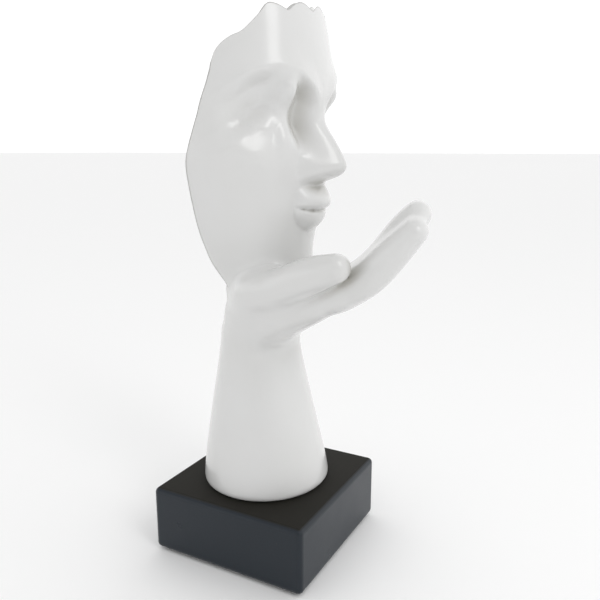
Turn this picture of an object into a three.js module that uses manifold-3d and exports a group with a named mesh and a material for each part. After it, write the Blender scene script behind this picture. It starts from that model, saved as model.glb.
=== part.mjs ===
// A face mask resting on an open right hand, both cast in white resin, bolted to a black plinth.
// Millimetres, +Z up. The face looks along -Y, and the origin is the middle of the underside.
import * as THREE from "three";
import { mergeVertices } from "three/addons/utils/BufferGeometryUtils.js";
import { RoundedBoxGeometry } from "three/addons/geometries/RoundedBoxGeometry.js";
import Module from "manifold-3d";

const wasm = await Module();
wasm.setup();

// Fits
const SEAT_GAP = 0.3;
const BORE_CLEARANCE = 0.3;

// Plinth and felt
const PLINTH_SIDE = 100;
const PLINTH_HEIGHT = 39;
const PLINTH_EDGE = 3;
const FELT_THICKNESS = 1.2;
const FELT_INSET = 4;
const FELT_CORNER = 3;

// Stud, washer and nut that hold the figure down, and the dowel that stops it turning
const STUD_DIAMETER = 8;
const STUD_IN_HAND = 28;
const STUD_PAST_NUT = 2;
const WASHER_DIAMETER = 24;
const WASHER_THICKNESS = 2;
const NUT_ACROSS_FLATS = 13;
const NUT_HEIGHT = 6.5;
const NUT_RECESS = 2;
const COUNTERBORE_CLEARANCE = 1.5;
const DOWEL_DIAMETER = 5;
const DOWEL_LENGTH = 20;
const DOWEL_FROM_EDGE = 18;

// Forearm, an oval column that flares to its foot
const FOREARM_HEIGHT = 110.7;
const FOOT_HALF_WIDTH = 39.5;
const FOOT_HALF_DEPTH = 38;
const FOOT_BACK = 1;
const FOOT_ROUND = 3;
const WRIST_HALF_WIDTH = 24.5;
const WRIST_HALF_DEPTH = 21;
const WRIST_BACK = 4.6;
const WRIST_ROUND = 20;

// Joints of the digits from the middle of the wrist, each [x, y, z, radius]:
// carpus, middle of the palm, knuckle, two finger joints, tip
const FINGERS = [
  [[-14, -6, -11.5, 13.5], [-20, -37, 3.6, 10.7], [-20, -55.5, 12, 7.8],
    [-20, -71, 20.6, 8.2], [-20, -83, 32.6, 7.9], [-20, -95.8, 46.6, 6.1]],
  [[-5, -6, -10.5, 13.5], [-6, -42, 7, 10.5], [-6, -58, 15, 8.6],
    [-6, -72, 29, 7.4], [-6, -84.3, 45.8, 6.7], [-6, -92.3, 54.8, 6]],
  [[6, -6, -8, 13.5], [8, -40, 7, 10.5], [7.5, -56, 14.5, 8.5],
    [7, -69, 27, 7], [6.5, -81, 43, 6.2], [6, -87.5, 51, 5.3]],
  [[15, -4, -8, 12.5], [20.5, -37, 6, 9.6], [20, -51, 12.5, 7.9],
    [19.5, -62, 22.5, 6.5], [19, -72.5, 36, 5.7], [18.5, -78.5, 43.5, 5]],
];
const KNUCKLE = 2;
const THUMB = [
  [-12.3, 3.8, -3, 13], [-22, -7, 8, 12.3], [-26.5, -24.5, 13.6, 11],
  [-31, -45, 22.8, 9.8], [-32.5, -60, 28.3, 7.6],
];
const HEEL_PAD = [[13, 8, -3, 13.5], [19, -4, 4.5, 12.5], [20.5, -22, 7, 11]];

// Widths over which the limbs run into each other
const PALM_BLEND = 8;
const WRIST_BLEND = 8;
const FINGER_BLEND = 15;
const KNUCKLE_BLEND = 5;
const THUMB_BLEND = 8;
const THUMB_TIP_BLEND = 3;

// Fineness of the hand's skin
const SKIN_STEP = 4.2;
const FOREARM_STEP = 9;
const SKIN_MARGIN = 6;

// Face mask, a shell that is open behind; the face has three equal thirds from chin to hairline
const CHIN_OVER_WRIST = 22;
const FACE_HEIGHT = 135;
const FACE_HALF_WIDTH = 52;
const BROW_FORWARD = 37.2;
const SIDES_BACK = 17;
const RIM_BACK = 17;
const WALL = 6;
const CROWN_WALL = 3.5;
const RIM_ROUND = 2;
const SEAT_DROP = 13;
const CORNER_LEVEL = 103;
const CORNER_DROP = 13;
const CORNER_DEGREES = 13;
const SCALLOP_PITCH = 23.3;
const SCALLOP_AT = 18;
const SCALLOP_RISE = 4;
const SCALLOP_SOFTNESS = 0.12;
const SCALLOP_END = 44;
const SCALLOP_FADE = 8;

// Features of the face: x is from the middle line, z over the chin or from the feature's own line,
// half and tall are half a mound's width and height, out is how far it stands out
const NOSE_LENGTH = 47;
const NOSE_OUT = 17.5;
const NOSE_HALF_WIDTH = 17.5;
const NOSE_WING = { x: 12.5, z: 5, half: 4, tall: 5, out: 0.8 };
const NOSE_SIDE = { ridge: 1.35, ball: 1.4, bridge: 1.7, from: 5, to: 20 };
const BROW_ARCH = 13.4;
const BROW_RIDGE = { over: 1, tall: 5.5, out: 1.6, from: 2, full: 12, fade: 40, to: 50 };
const SOCKET_ROOF = { over: 2, tall: 9 };
const INNER_SOCKET = { x: 14.5, half: 4.4, widening: 2.6, deep: 9.5, from: 18, fade: 19 };
const OUTER_SOCKET = { x: 37, half: 8, widening: 0, deep: 6.2, from: 13, fade: 14 };
const SOCKET_WIDENS = { over: 6, tall: 20 };
const LID = { x: 34.5, half: 11, drop: 16.8, arch: 7, over: 3, deep: 3.2 };
const LID_ACROSS = { from: 22, full: 31, fade: 40, to: 50 };
const UNDER_LID = { outer: 12, inner: 28, from: 20, to: 40 };
const LID_FOLD = { x: 24.5, z: 2.5, half: 4.5, tall: 5.5, out: 4 };
const LID_ROLL = { tall: 9, out: 0.66, low: 0.6, high: 1, from: 24, full: 32, fade: 41, to: 47 };
const MOUTH_DROP = 13.2;
const MOUTH_HALF_WIDTH = 16.5;
const MOUTH_RISE = 2;
const LIP_FULLNESS = 0.75;
const UPPER_LIP = { tall: 14.2, taper: 0.2, out: 6.8, low: 0.4, high: 1.6 };
const LOWER_LIP = { tall: 12, taper: 0.5, out: 4.9, low: 0.85, high: 0.7 };
const LIP_DIP = { half: 4.5, deep: 2.9 };
const CHEEK_BONE = { x: 36, z: 62, half: 12, tall: 9, out: 1.5 };
const CHEEK_HOLLOW = { x: 32, z: 35, half: 10, tall: 10, out: -1.5 };
const MUZZLE = { x: 0, z: 34, half: 14, tall: 10, out: 1.2 };

// Two pins between the jaw and the palm
const PIN_DIAMETER = 2.5;
const PIN_LENGTH = 16;
const PIN_DEGREES = 20;

const ROUND_SIDES = 32;

// A smooth curve through [place, value] knots in percent of a length and a size, level past its ends
function profile(length, size, knots) {
  const at = knots.map(([place]) => (place * length) / 100);
  const value = knots.map(([, share]) => (share * size) / 100);
  const last = at.length - 1;
  const gap = at.slice(1).map((place, i) => place - at[i]);
  const rise = gap.map((step, i) => (value[i + 1] - value[i]) / step);
  const slope = at.map((_, i) => {
    if (i === 0) return rise[0];
    if (i === last) return rise[last - 1];
    return (rise[i - 1] * gap[i] + rise[i] * gap[i - 1]) / (gap[i - 1] + gap[i]);
  });
  return (place) => {
    const held = Math.min(Math.max(place, at[0]), at[last]);
    let i = 0;
    while (i < last - 1 && held > at[i + 1]) i += 1;
    const t = (held - at[i]) / gap[i];
    const s = 1 - t;
    return (1 + 2 * t) * s * s * value[i] + t * s * s * gap[i] * slope[i]
      + t * t * (3 - 2 * t) * value[i + 1] - t * t * s * gap[i] * slope[i + 1];
  };
}

const clamp = (t) => Math.min(Math.max(t, 0), 1);
const ease = (t) => clamp(t) ** 2 * (3 - 2 * clamp(t));
const bell = (t) => Math.exp(-0.5 * t * t);
const degrees = THREE.MathUtils.radToDeg;
const radians = THREE.MathUtils.degToRad;

// The lower of two distances, rounded over a width where they meet
function blend(a, b, width) {
  const h = clamp(0.5 + (0.5 * (b - a)) / width);
  return b * (1 - h) + a * h - width * h * (1 - h);
}

// Sections of the face by height over the chin
const NOSE_BASE = FACE_HEIGHT / 3;
const BROW = (2 * FACE_HEIGHT) / 3;
const halfWidth = profile(FACE_HEIGHT, FACE_HALF_WIDTH,
  [[-16, 31], [-3, 50], [6, 65], [17, 81], [28, 91], [41, 98], [54, 100], [73, 96], [87, 88], [104, 77]]);
const front = profile(FACE_HEIGHT, BROW_FORWARD,
  [[-16, 69], [0, 74], [9, 72.5], [17, 76], [24, 82], [33, 85], [47, 89], [58, 93], [68, 100], [82, 97],
    [95, 90], [104, 82]]);
const sidesBack = profile(FACE_HEIGHT, SIDES_BACK, [[-16, 82], [6, 94], [41, 100], [73, 88], [104, 59]]);
const rimBack = profile(FACE_HEIGHT, RIM_BACK,
  [[-16, 30], [-9, 68], [1, 97], [10, 98.5], [22, 97.5], [34, 95], [41, 93], [50, 78], [61, 48], [72, 18.5],
    [76, 11.5]]);
const crown = profile(100, FACE_HEIGHT,
  [[0, 97.8], [24, 97], [38, 96], [45, 95.9], [50, 94.6], [55, 91.6], [60, 88.7], [66, 87.3], [80, 87]]);
const noseOut = profile(NOSE_LENGTH, NOSE_OUT,
  [[-1, 0], [2, 14], [6, 44], [10, 74], [15, 93], [23, 100], [32, 89], [49, 58], [70, 16], [87, 2],
    [100, 0]]);
const noseHalf = profile(NOSE_LENGTH, NOSE_HALF_WIDTH,
  [[-4, 94], [4, 100], [15, 100], [32, 97], [45, 91], [70, 69], [100, 57]]);
const browLine = profile(FACE_HALF_WIDTH, BROW_ARCH,
  [[0, -30], [13, 4], [27, 45], [39, 82], [54, 100], [68, 86], [79, 63], [88, 22], [98, -22]]);

// A rounded mound on the face
function mound({ x, z, half, tall, out }, a, height) {
  return out * bell((a - x) / half) * bell((height - z) / tall);
}

// Nought outside a stretch and one in its middle
function within({ from, full, fade, to }, a) {
  return ease((a - from) / (full - from)) * ease((to - a) / (to - fade));
}

// A hump of height one between nought and one, its top nearer nought where low is small
function hump({ low, high }, place) {
  const u = clamp(place);
  const top = low / (low + high);
  return (u ** low * (1 - u) ** high) / (top ** low * (1 - top) ** high);
}

// Brow, eye sockets and closed lids
function eyeRelief(a, z) {
  const below = BROW + browLine(a) - z;
  const roof = ease((below + SOCKET_ROOF.over) / SOCKET_ROOF.tall);
  const lower = ease((BROW + SOCKET_WIDENS.over - z) / SOCKET_WIDENS.tall);
  const hollow = ({ x, half, widening, deep, from, fade }) => {
    const reach = a < x ? half : half + widening * lower;
    return deep * bell((a - x) / reach) * roof * (1 - ease((below - from) / fade));
  };
  const lidEdge = BROW - LID.drop + LID.arch * clamp(Math.abs(a - LID.x) / LID.half) ** 2;
  const lidTop = BROW + LID.over;
  const inward = ease((UNDER_LID.to - a) / (UNDER_LID.to - UNDER_LID.from));
  const under = UNDER_LID.outer + (UNDER_LID.inner - UNDER_LID.outer) * inward;
  const sunk = ease((lidTop - z) / (lidTop - lidEdge)) * (1 - ease((lidEdge - z) / under));
  const lid = LID.deep * sunk * within(LID_ACROSS, a);
  const ridge = BROW_RIDGE.out * bell((below + BROW_RIDGE.over) / BROW_RIDGE.tall) * within(BROW_RIDGE, a);
  const form = ridge + mound(LID_FOLD, a, z - BROW) - hollow(INNER_SOCKET) - hollow(OUTER_SOCKET) - lid;
  const roll = LID_ROLL.out * within(LID_ROLL, a) * hump(LID_ROLL, (z - lidEdge) / LID_ROLL.tall);
  return { form, fine: roll };
}

function noseRelief(a, z) {
  const n = z - NOSE_BASE;
  const t = clamp(a / noseHalf(n));
  const upward = ease((n - NOSE_SIDE.from) / (NOSE_SIDE.to - NOSE_SIDE.from));
  const power = NOSE_SIDE.ball + (NOSE_SIDE.bridge - NOSE_SIDE.ball) * upward;
  return noseOut(n) * (1 - t ** NOSE_SIDE.ridge) ** power + mound(NOSE_WING, a, n);
}

function lipRelief(a, z) {
  const span = clamp(1 - (a / MOUTH_HALF_WIDTH) ** 2);
  if (span === 0) return 0;
  const line = NOSE_BASE - MOUTH_DROP + MOUTH_RISE * (1 - span);
  const upper = UPPER_LIP.tall * span ** UPPER_LIP.taper - LIP_DIP.deep * bell(a / LIP_DIP.half);
  const lower = LOWER_LIP.tall * span ** LOWER_LIP.taper;
  const upperLip = UPPER_LIP.out * hump(UPPER_LIP, (z - line) / upper);
  const lowerLip = LOWER_LIP.out * hump(LOWER_LIP, (line - z) / lower);
  return span ** LIP_FULLNESS * (upperLip + lowerLip);
}

function cheekRelief(a, z) {
  return [CHEEK_BONE, CHEEK_HOLLOW, MUZZLE].reduce((sum, form) => sum + mound(form, a, z), 0);
}

// Rounded scallops along the top edge, fading out at the temples
function scallop(angle) {
  const t = degrees(angle);
  const wave = Math.hypot(Math.cos((Math.PI * (t - SCALLOP_AT)) / SCALLOP_PITCH), SCALLOP_SOFTNESS);
  return wave * (1 - ease((Math.abs(t) - SCALLOP_END) / SCALLOP_FADE));
}

function rimAngle(z) {
  return Math.acos((sidesBack(z) - rimBack(z)) / (front(z) + sidesBack(z)));
}

function topEdge(angle) {
  const t = Math.abs(degrees(angle));
  const q = clamp((t - degrees(rimAngle(CORNER_LEVEL)) + CORNER_DEGREES) / CORNER_DEGREES);
  return crown(t) + SCALLOP_RISE * scallop(angle) - CORNER_DROP * (1 - Math.sqrt(1 - q * q));
}

// A point of the oval section at an angle from straight ahead, moved out by a relief
function facePoint(angle, z, relief) {
  const depth = front(z) + sidesBack(z);
  const stretch = 1 + relief / depth;
  const x = -halfWidth(z) * stretch * Math.sin(angle);
  const y = sidesBack(z) - depth * stretch * Math.cos(angle);
  return new THREE.Vector3(x, y, z);
}

function outerPoint(angle, z, grow) {
  const a = Math.abs(halfWidth(z) * Math.sin(angle));
  const eye = eyeRelief(a, z);
  const relief = eye.form + eye.fine + noseRelief(a, z) + lipRelief(a, z) + cheekRelief(a, z);
  return facePoint(angle, z, relief + grow);
}

// The inner side keeps behind the deepest relief close by, so that the wall is nowhere thin
function innerPoint(angle, z, grow) {
  const a = Math.abs(halfWidth(z) * Math.sin(angle));
  const wall = WALL + (CROWN_WALL - WALL) * ease((z - BROW) / (FACE_HEIGHT - BROW));
  const step = 0.7 * WALL;
  const relief = [[0, 0], [step, 0], [-step, 0], [0, step], [0, -step]].map(([across, up]) => {
    const side = Math.abs(a + across);
    const level = z + up;
    return eyeRelief(side, level).form + noseRelief(side, level) + cheekRelief(side, level);
  });
  return facePoint(angle, z, Math.min(...relief) - wall - grow);
}

// The shell's grid: columns from rim to rim, closer over the nose, and rows from the seat to the top
// edge, closer over the mouth and nose; the inner side takes every second line
const COLUMNS = 36;
const ROW_BANDS = [[0.15, 6], [0.34, 12], [0.46, 8], [0.73, 14]];
const TOP_ROWS = 6;
function shellRows() {
  const rows = [() => -SEAT_DROP];
  let from = -SEAT_DROP;
  for (const [share, count] of ROW_BANDS) {
    const start = from;
    const step = (share * FACE_HEIGHT - start) / count;
    for (let i = 1; i <= count; i += 1) rows.push(() => start + i * step);
    from = share * FACE_HEIGHT;
  }
  for (let i = 1; i <= TOP_ROWS; i += 1) rows.push((top) => from + ((top - from) * i) / TOP_ROWS);
  return rows;
}

// The mask as a closed shell with a round rim; grow makes the shape that its seat is cut to
function faceShell(grow) {
  const rows = shellRows();
  const outer = rows.map(() => []);
  const inner = rows.map(() => []);
  for (let c = 0; c <= COLUMNS; c += 1) {
    const u = (2 * c) / COLUMNS - 1;
    const share = 0.62 * u + 0.38 * u ** 3;
    const top = topEdge(rimAngle(CORNER_LEVEL) * share);
    rows.forEach((row, r) => {
      const z = row(top);
      const angle = rimAngle(Math.min(z, CORNER_LEVEL)) * share;
      outer[r].push(outerPoint(angle, z, grow));
      inner[r].push(innerPoint(angle, z, grow));
    });
  }
  for (const point of [...outer[0], ...inner[0]]) point.z -= grow;
  const points = [];
  const triangles = [];
  const add = (point) => points.push(point) - 1;
  const quad = (a, b, c, d, turned) => {
    triangles.push(...(turned ? [b, c, d, b, d, a] : [a, b, c, a, c, d]));
  };
  const outerIds = outer.map((line) => line.map(add));
  const innerIds = inner.map((line, r) => line.map((point, c) => (r % 2 || c % 2 ? -1 : add(point))));
  const last = rows.length - 1;
  for (let r = 0; r < last; r += 1) {
    for (let c = 0; c < COLUMNS; c += 1) {
      quad(outerIds[r][c], outerIds[r + 1][c], outerIds[r + 1][c + 1], outerIds[r][c + 1], 2 * c < COLUMNS);
    }
  }
  for (let r = 0; r < last; r += 2) {
    for (let c = 0; c < COLUMNS; c += 2) {
      quad(innerIds[r][c], innerIds[r][c + 2], innerIds[r + 2][c + 2], innerIds[r + 2][c], 2 * c < COLUMNS);
    }
  }
  // The way round the rim: up one side, along the top and down the other side
  const path = [];
  for (let r = 0; r < last; r += 1) path.push([r, 0]);
  for (let c = 0; c < COLUMNS; c += 1) path.push([last, c]);
  for (let r = last; r >= 0; r -= 1) path.push([r, COLUMNS]);
  const middle = path.map(([r, c]) => outer[r][c].clone().lerp(inner[r][c], 0.5));
  const bulge = (share) => path.map(([r, c], i) => {
    const along = middle[Math.min(i + 1, path.length - 1)].clone().sub(middle[Math.max(i - 1, 0)]);
    const through = outer[r][c].clone().sub(inner[r][c]).multiplyScalar(0.5);
    const outward = along.cross(through).normalize();
    const turn = Math.PI * share;
    const point = middle[i].clone().addScaledVector(through, Math.cos(turn));
    point.addScaledVector(outward, (RIM_ROUND + grow) * Math.sin(turn) ** 0.7);
    if (r === 0) point.z = middle[i].z;
    return add(point);
  });
  const rings = [path.map(([r, c]) => outerIds[r][c]), bulge(0.3), bulge(0.7)];
  for (let k = 0; k < rings.length - 1; k += 1) {
    for (let i = 0; i < path.length - 1; i += 1) {
      quad(rings[k][i], rings[k + 1][i], rings[k + 1][i + 1], rings[k][i + 1]);
    }
  }
  // Two edges of a finer line meet one edge of the inner side
  const stitch = (fine, coarse) => {
    for (let i = 0; i + 2 < fine.length; i += 2) {
      triangles.push(fine[i], coarse[i], fine[i + 1]);
      triangles.push(fine[i + 1], coarse[i], coarse[i + 2]);
      triangles.push(fine[i + 1], coarse[i + 2], fine[i + 2]);
    }
  };
  const lastRing = rings[rings.length - 1];
  stitch(lastRing, path.map(([r, c]) => innerIds[r][c]));
  stitch([...outerIds[0]].reverse(), [...innerIds[0]].reverse());
  for (const end of [0, path.length - 1]) {
    const corner = [...rings.map((ring) => ring[end]), innerIds[0][end === 0 ? 0 : COLUMNS]];
    if (end === 0) corner.reverse();
    triangles.push(corner[0], corner[1], corner[2], corner[0], corner[2], corner[3]);
  }
  const geometry = new THREE.BufferGeometry().setFromPoints(points);
  geometry.setIndex(triangles);
  return geometry;
}

// A limb as short tapered segments along a smooth curve through its joints
function limb(joints) {
  const steps = 4;
  const bones = joints.length - 1;
  const slope = joints.map((joint, i) => joint.map((_, k) => {
    const before = joints[Math.max(i - 1, 0)][k];
    const after = joints[Math.min(i + 1, bones)][k];
    return (after - before) / (i === 0 || i === bones ? 1 : 2);
  }));
  const points = [];
  for (let n = 0; n <= bones * steps; n += 1) {
    const i = Math.min(Math.floor(n / steps), bones - 1);
    const t = n / steps - i;
    const s = 1 - t;
    points.push(joints[i].map((value, k) => (1 + 2 * t) * s * s * value + t * s * s * slope[i][k]
      + t * t * (3 - 2 * t) * joints[i + 1][k] - t * t * s * slope[i + 1][k]));
  }
  return points;
}

function limbDistance(points, x, y, z) {
  let nearest = Infinity;
  for (let i = 0; i + 1 < points.length; i += 1) {
    const [ax, ay, az, ar] = points[i];
    const [bx, by, bz, br] = points[i + 1];
    const [dx, dy, dz] = [bx - ax, by - ay, bz - az];
    const t = clamp(((x - ax) * dx + (y - ay) * dy + (z - az) * dz) / (dx * dx + dy * dy + dz * dz));
    const away = Math.hypot(x - ax - t * dx, y - ay - t * dy, z - az - t * dz);
    nearest = Math.min(nearest, away - ar - t * (br - ar));
  }
  return nearest;
}

// Forearm by height over the foot
const taper = profile(FOREARM_HEIGHT, 100,
  [[0, 100], [10, 92], [28, 70], [46, 47], [62, 26], [78, 9], [100, 0]]);
const lean = profile(FOREARM_HEIGHT, 100, [[0, 0], [28, 50], [78, 100], [100, 100]]);
function forearmDistance(x, y, z) {
  const flare = taper(z) / 100;
  const edge = FOOT_ROUND * (1 - Math.sqrt(1 - clamp(1 - z / FOOT_ROUND) ** 2));
  const width = WRIST_HALF_WIDTH + (FOOT_HALF_WIDTH - WRIST_HALF_WIDTH) * flare - edge;
  const depth = WRIST_HALF_DEPTH + (FOOT_HALF_DEPTH - WRIST_HALF_DEPTH) * flare - edge;
  const centre = FOOT_BACK + ((WRIST_BACK - FOOT_BACK) * lean(z)) / 100;
  const side = (Math.hypot(x / width, (y - centre) / depth) - 1) * Math.min(width, depth);
  return -blend(-side, FOREARM_HEIGHT - z, WRIST_ROUND);
}

const metacarpals = FINGERS.map((joints) => limb(joints.slice(0, KNUCKLE + 1)));
const phalanges = FINGERS.map((joints) => limb(joints.slice(KNUCKLE)));
const thumb = limb(THUMB);
const heelPad = limb(HEEL_PAD);
const THUMB_CLEAR = { from: THUMB[2][1], to: THUMB[3][1] };
function handDistance(x, y, z) {
  const w = z - FOREARM_HEIGHT;
  const palm = [...metacarpals, heelPad].map((bone) => limbDistance(bone, x, y, w));
  const digits = phalanges.map((bone) => limbDistance(bone, x, y, w));
  const joinPalm = palm.reduce((all, one) => blend(all, one, PALM_BLEND));
  const joinDigits = digits.reduce((all, one) => blend(all, one, FINGER_BLEND));
  const hand = blend(forearmDistance(x, y, z), joinPalm, WRIST_BLEND);
  const fingers = blend(hand, joinDigits, KNUCKLE_BLEND);
  const outward = ease((THUMB_CLEAR.from - y) / (THUMB_CLEAR.from - THUMB_CLEAR.to));
  const thumbBlend = THUMB_BLEND + (THUMB_TIP_BLEND - THUMB_BLEND) * outward;
  return blend(fingers, limbDistance(thumb, x, y, w), thumbBlend);
}

// Places from start to end, a step apart
function spread(start, end, step) {
  const count = Math.ceil((end - start) / step);
  return Array.from({ length: count + 1 }, (_, i) => start + ((end - start) * i) / count);
}

// Moves a point onto the surface where a distance is nought, within a grid cell
function settle(distance, point, cell) {
  const e = 0.05;
  for (let n = 0; n < 4; n += 1) {
    const { x, y, z } = point;
    const gradient = new THREE.Vector3(
      distance(x + e, y, z) - distance(x - e, y, z),
      distance(x, y + e, z) - distance(x, y - e, z),
      distance(x, y, z + e) - distance(x, y, z - e),
    ).multiplyScalar(0.5 / e);
    point.addScaledVector(gradient, -distance(x, y, z) / Math.max(gradient.lengthSq(), 0.1));
    point.clamp(cell.min, cell.max);
  }
  return point;
}

// Corners of a grid cell and the twelve edges between them
const CORNERS = Array.from({ length: 8 }, (_, n) => [n >> 2, (n >> 1) & 1, n & 1]);
const EDGES = CORNERS.flatMap((_, n) => [4, 2, 1].filter((bit) => !(n & bit)).map((bit) => [n, n + bit]));

// A closed skin on the surface where a distance is nought: one point for each separate piece of the
// solid in a grid cell, and one four-sided facet for each grid edge that the surface crosses
function skin(distance, xs, ys, zs) {
  const size = [xs.length, ys.length, zs.length];
  const key = (i, j, k) => (i * size[1] + j) * size[2] + k;
  const value = new Float64Array(size[0] * size[1] * size[2]);
  xs.forEach((x, i) => ys.forEach((y, j) => zs.forEach((z, k) => {
    value[key(i, j, k)] = distance(x, y, z);
  })));
  const ids = new Map();
  const points = [];
  const cells = [];
  const fillCell = (i, j, k) => {
    const values = CORNERS.map(([p, q, r]) => value[key(i + p, j + q, k + r)]);
    const places = CORNERS.map(([p, q, r]) => new THREE.Vector3(xs[i + p], ys[j + q], zs[k + r]));
    const crossed = EDGES.filter(([a, b]) => values[a] < 0 !== values[b] < 0);
    if (crossed.length === 0) return;
    const piece = CORNERS.map((_, n) => n);
    const joined = EDGES.filter(([a, b]) => values[a] < 0 && values[b] < 0);
    for (let pass = 0; pass < 4; pass += 1) {
      for (const [a, b] of joined) {
        piece[a] = Math.min(piece[a], piece[b]);
        piece[b] = piece[a];
      }
    }
    const cell = new THREE.Box3(places[0], places[7]).expandByScalar(-0.1);
    for (const one of new Set(piece.filter((_, n) => values[n] < 0))) {
      const own = crossed.filter(([a, b]) => piece[values[a] < 0 ? a : b] === one);
      const centre = new THREE.Vector3();
      for (const [a, b] of own) {
        const share = values[a] / (values[a] - values[b]);
        centre.addScaledVector(places[a].clone().lerp(places[b], share), 1 / own.length);
      }
      const id = points.push(settle(distance, centre, cell)) - 1;
      cells.push(cell);
      piece.forEach((label, n) => label === one && ids.set(8 * key(i, j, k) + n, id));
    }
  };
  for (let i = 0; i + 1 < size[0]; i += 1) {
    for (let j = 0; j + 1 < size[1]; j += 1) {
      for (let k = 0; k + 1 < size[2]; k += 1) fillCell(i, j, k);
    }
  }
  const facets = [];
  const addFacet = (node, axis) => {
    const next = node.map((n, d) => (d === axis ? n + 1 : n));
    if (next[axis] >= size[axis]) return;
    const inside = value[key(...node)] < 0;
    if (inside === value[key(...next)] < 0) return;
    const core = inside ? node : next;
    const round = [[1, 1], [0, 1], [0, 0], [1, 0]].map(([p, q]) => {
      const cell = [...node];
      cell[(axis + 1) % 3] -= p;
      cell[(axis + 2) % 3] -= q;
      const corner = 4 * (core[0] - cell[0]) + 2 * (core[1] - cell[1]) + core[2] - cell[2];
      return ids.get(8 * key(...cell) + corner);
    });
    facets.push(inside ? round : round.reverse());
  };
  for (let i = 0; i < size[0]; i += 1) {
    for (let j = 0; j < size[1]; j += 1) {
      for (let k = 0; k < size[2]; k += 1) [0, 1, 2].forEach((axis) => addFacet([i, j, k], axis));
    }
  }
  // The points are evened out along the surface
  const near = points.map(() => new Set());
  for (const facet of facets) {
    facet.forEach((id, n) => near[id].add(facet[(n + 1) % 4]).add(facet[(n + 3) % 4]));
  }
  for (let round = 0; round < 3; round += 1) {
    points.forEach((point, id) => {
      const centre = new THREE.Vector3();
      near[id].forEach((other) => centre.addScaledVector(points[other], 1 / near[id].size));
      settle(distance, point.lerp(centre, 0.5), cells[id]);
    });
  }
  const triangles = facets.flatMap(([a, b, c, d]) => {
    const short = points[a].distanceTo(points[c]) < points[b].distanceTo(points[d]);
    return short ? [a, b, c, a, c, d] : [b, c, d, b, d, a];
  });
  const geometry = new THREE.BufferGeometry().setFromPoints(points);
  geometry.setIndex(triangles);
  return geometry;
}

// Closed meshes to solids and back, for cutting
function solid(geometry) {
  const bare = geometry.clone();
  bare.deleteAttribute("normal");
  bare.deleteAttribute("uv");
  const merged = mergeVertices(bare, 1e-4);
  const vertProperties = merged.attributes.position.array;
  const triVerts = new Uint32Array(merged.index.array);
  return new wasm.Manifold(new wasm.Mesh({ numProp: 3, vertProperties, triVerts }));
}

function geometryOf(body) {
  const { vertProperties, triVerts } = body.getMesh();
  const geometry = new THREE.BufferGeometry();
  geometry.setAttribute("position", new THREE.BufferAttribute(vertProperties, 3));
  geometry.setIndex(new THREE.BufferAttribute(triVerts, 1));
  return geometry;
}

// An upright round bar between two levels
function bar(diameter, from, to, x = 0, y = 0) {
  const geometry = new THREE.CylinderGeometry(diameter / 2, diameter / 2, to - from, ROUND_SIDES);
  geometry.rotateX(Math.PI / 2);
  geometry.translate(x, y, (from + to) / 2);
  return geometry;
}

const hole = (diameter, from, to, x, y) => solid(bar(diameter + 2 * BORE_CLEARANCE, from, to, x, y));

// Levels over the surface that it stands on
const PLINTH_BOTTOM = FELT_THICKNESS + SEAT_GAP;
const PLINTH_TOP = PLINTH_BOTTOM + PLINTH_HEIGHT;
const FIGURE_LEVEL = PLINTH_TOP + SEAT_GAP;
const COUNTERBORE_DEPTH = SEAT_GAP + WASHER_THICKNESS + SEAT_GAP + NUT_HEIGHT + STUD_PAST_NUT + NUT_RECESS;
const WASHER_LEVEL = PLINTH_BOTTOM + COUNTERBORE_DEPTH - SEAT_GAP - WASHER_THICKNESS;
const NUT_LEVEL = WASHER_LEVEL - SEAT_GAP - NUT_HEIGHT;
const STUD_BOTTOM = NUT_LEVEL - STUD_PAST_NUT;
const STUD_TOP = FIGURE_LEVEL + STUD_IN_HAND;
const DOWEL_Y = FOOT_BACK + FOOT_HALF_DEPTH - DOWEL_FROM_EDGE;
const DOWEL_BOTTOM = FIGURE_LEVEL - DOWEL_LENGTH / 2;
const DOWEL_TOP = FIGURE_LEVEL + DOWEL_LENGTH / 2;
const CHIN_LEVEL = FIGURE_LEVEL + FOREARM_HEIGHT + CHIN_OVER_WRIST;
const PIN_LEVEL = CHIN_LEVEL - SEAT_DROP;

// The middle of the jaw's wall where a pin stands
function pinPlace(angle) {
  const z = -SEAT_DROP + PIN_LENGTH / 4;
  return outerPoint(angle, z, 0).lerp(innerPoint(angle, z, 0), 0.5);
}
function pin(name, angle) {
  const { x, y } = pinPlace(angle);
  return { name, x, y, from: PIN_LEVEL - PIN_LENGTH / 2, to: PIN_LEVEL + PIN_LENGTH / 2 };
}
const PINS = [pin("mask_pin_right", radians(PIN_DEGREES)), pin("mask_pin_left", radians(-PIN_DEGREES))];
const pinHole = ({ x, y, from, to }) => hole(PIN_DIAMETER, from - SEAT_GAP, to + SEAT_GAP, x, y);

function faceMask() {
  const shell = faceShell(0);
  shell.translate(0, 0, CHIN_LEVEL);
  return geometryOf(PINS.reduce((body, one) => body.subtract(pinHole(one)), solid(shell)));
}

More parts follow.
